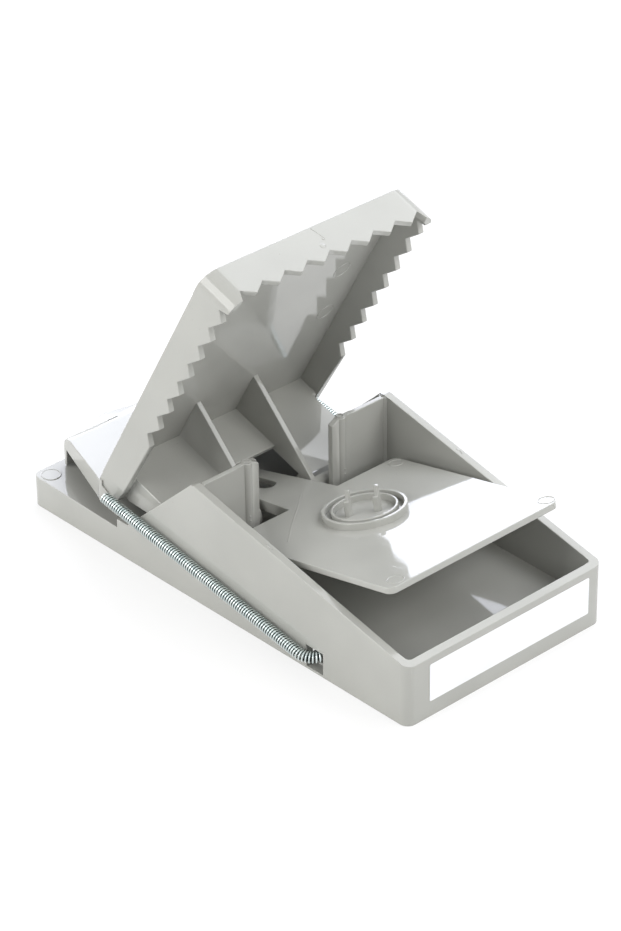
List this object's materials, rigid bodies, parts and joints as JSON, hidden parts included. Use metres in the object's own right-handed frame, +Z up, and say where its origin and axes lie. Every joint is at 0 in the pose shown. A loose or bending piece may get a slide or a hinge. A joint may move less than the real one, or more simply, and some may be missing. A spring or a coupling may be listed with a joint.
{
  "type": "rat trap",
  "caption": "Moulded rat trap, set: saw-toothed jaw raised on a side hinge, tilted bait plate with cup and pins, extension springs along the sides.",
  "frame": {"origin": "centre of the base's flat underside", "axes": "+X towards the front wall of the tray, +Y to the left side, +Z up"},
  "size_m": [0.1602, 0.084, 0.1089],
  "materials": {
    "grey_plastic_base": "glossy injection moulding",
    "grey_plastic_jaw": "glossy injection moulding",
    "grey_plastic_plate": "glossy injection moulding",
    "zinc_wire": "zinc-plated drawn wire",
    "white_label": "smooth white sticker, blank"
  },
  "bodies": {
    "base": {"base": "grey_plastic_base", "label": "white_label"},
    "jaw": {"jaw": "grey_plastic_jaw"},
    "bait_plate": {"bait_plate": "grey_plastic_plate"},
    "left_spring": {"left_spring": "zinc_wire"},
    "right_spring": {"right_spring": "zinc_wire"}
  },
  "joints": [
    {"name": "jaw_hinge", "type": "hinge", "parent": "base", "child": "jaw", "pos_m": [-0.0128, 0, 0.015], "axis": [0, 1, 0], "range_deg": [0, 71], "deforming": ["left_spring", "right_spring"]},
    {"name": "plate_pivot", "type": "hinge", "parent": "base", "child": "bait_plate", "pos_m": [0.004, 0, 0.018], "axis": [0, 1, 0], "range_deg": [0, 14.1]},
    {"name": "left_spring_swing", "type": "hinge", "parent": "base", "child": "left_spring", "pos_m": [0.0385, 0.0402, 0.0058], "axis": [0, 1, 0], "range_deg": [0, 25.2]},
    {"name": "right_spring_swing", "type": "hinge", "parent": "base", "child": "right_spring", "pos_m": [0.0385, -0.0402, 0.0058], "axis": [0, 1, 0], "range_deg": [0, 25.2]}
  ],
  "couplings": [
    {"joint": "plate_pivot", "follows": "jaw_hinge", "ratio": 0.19718},
    {"joint": "left_spring_swing", "follows": "jaw_hinge", "ratio": 0.3545},
    {"joint": "right_spring_swing", "follows": "jaw_hinge", "ratio": 0.3545}
  ]
}
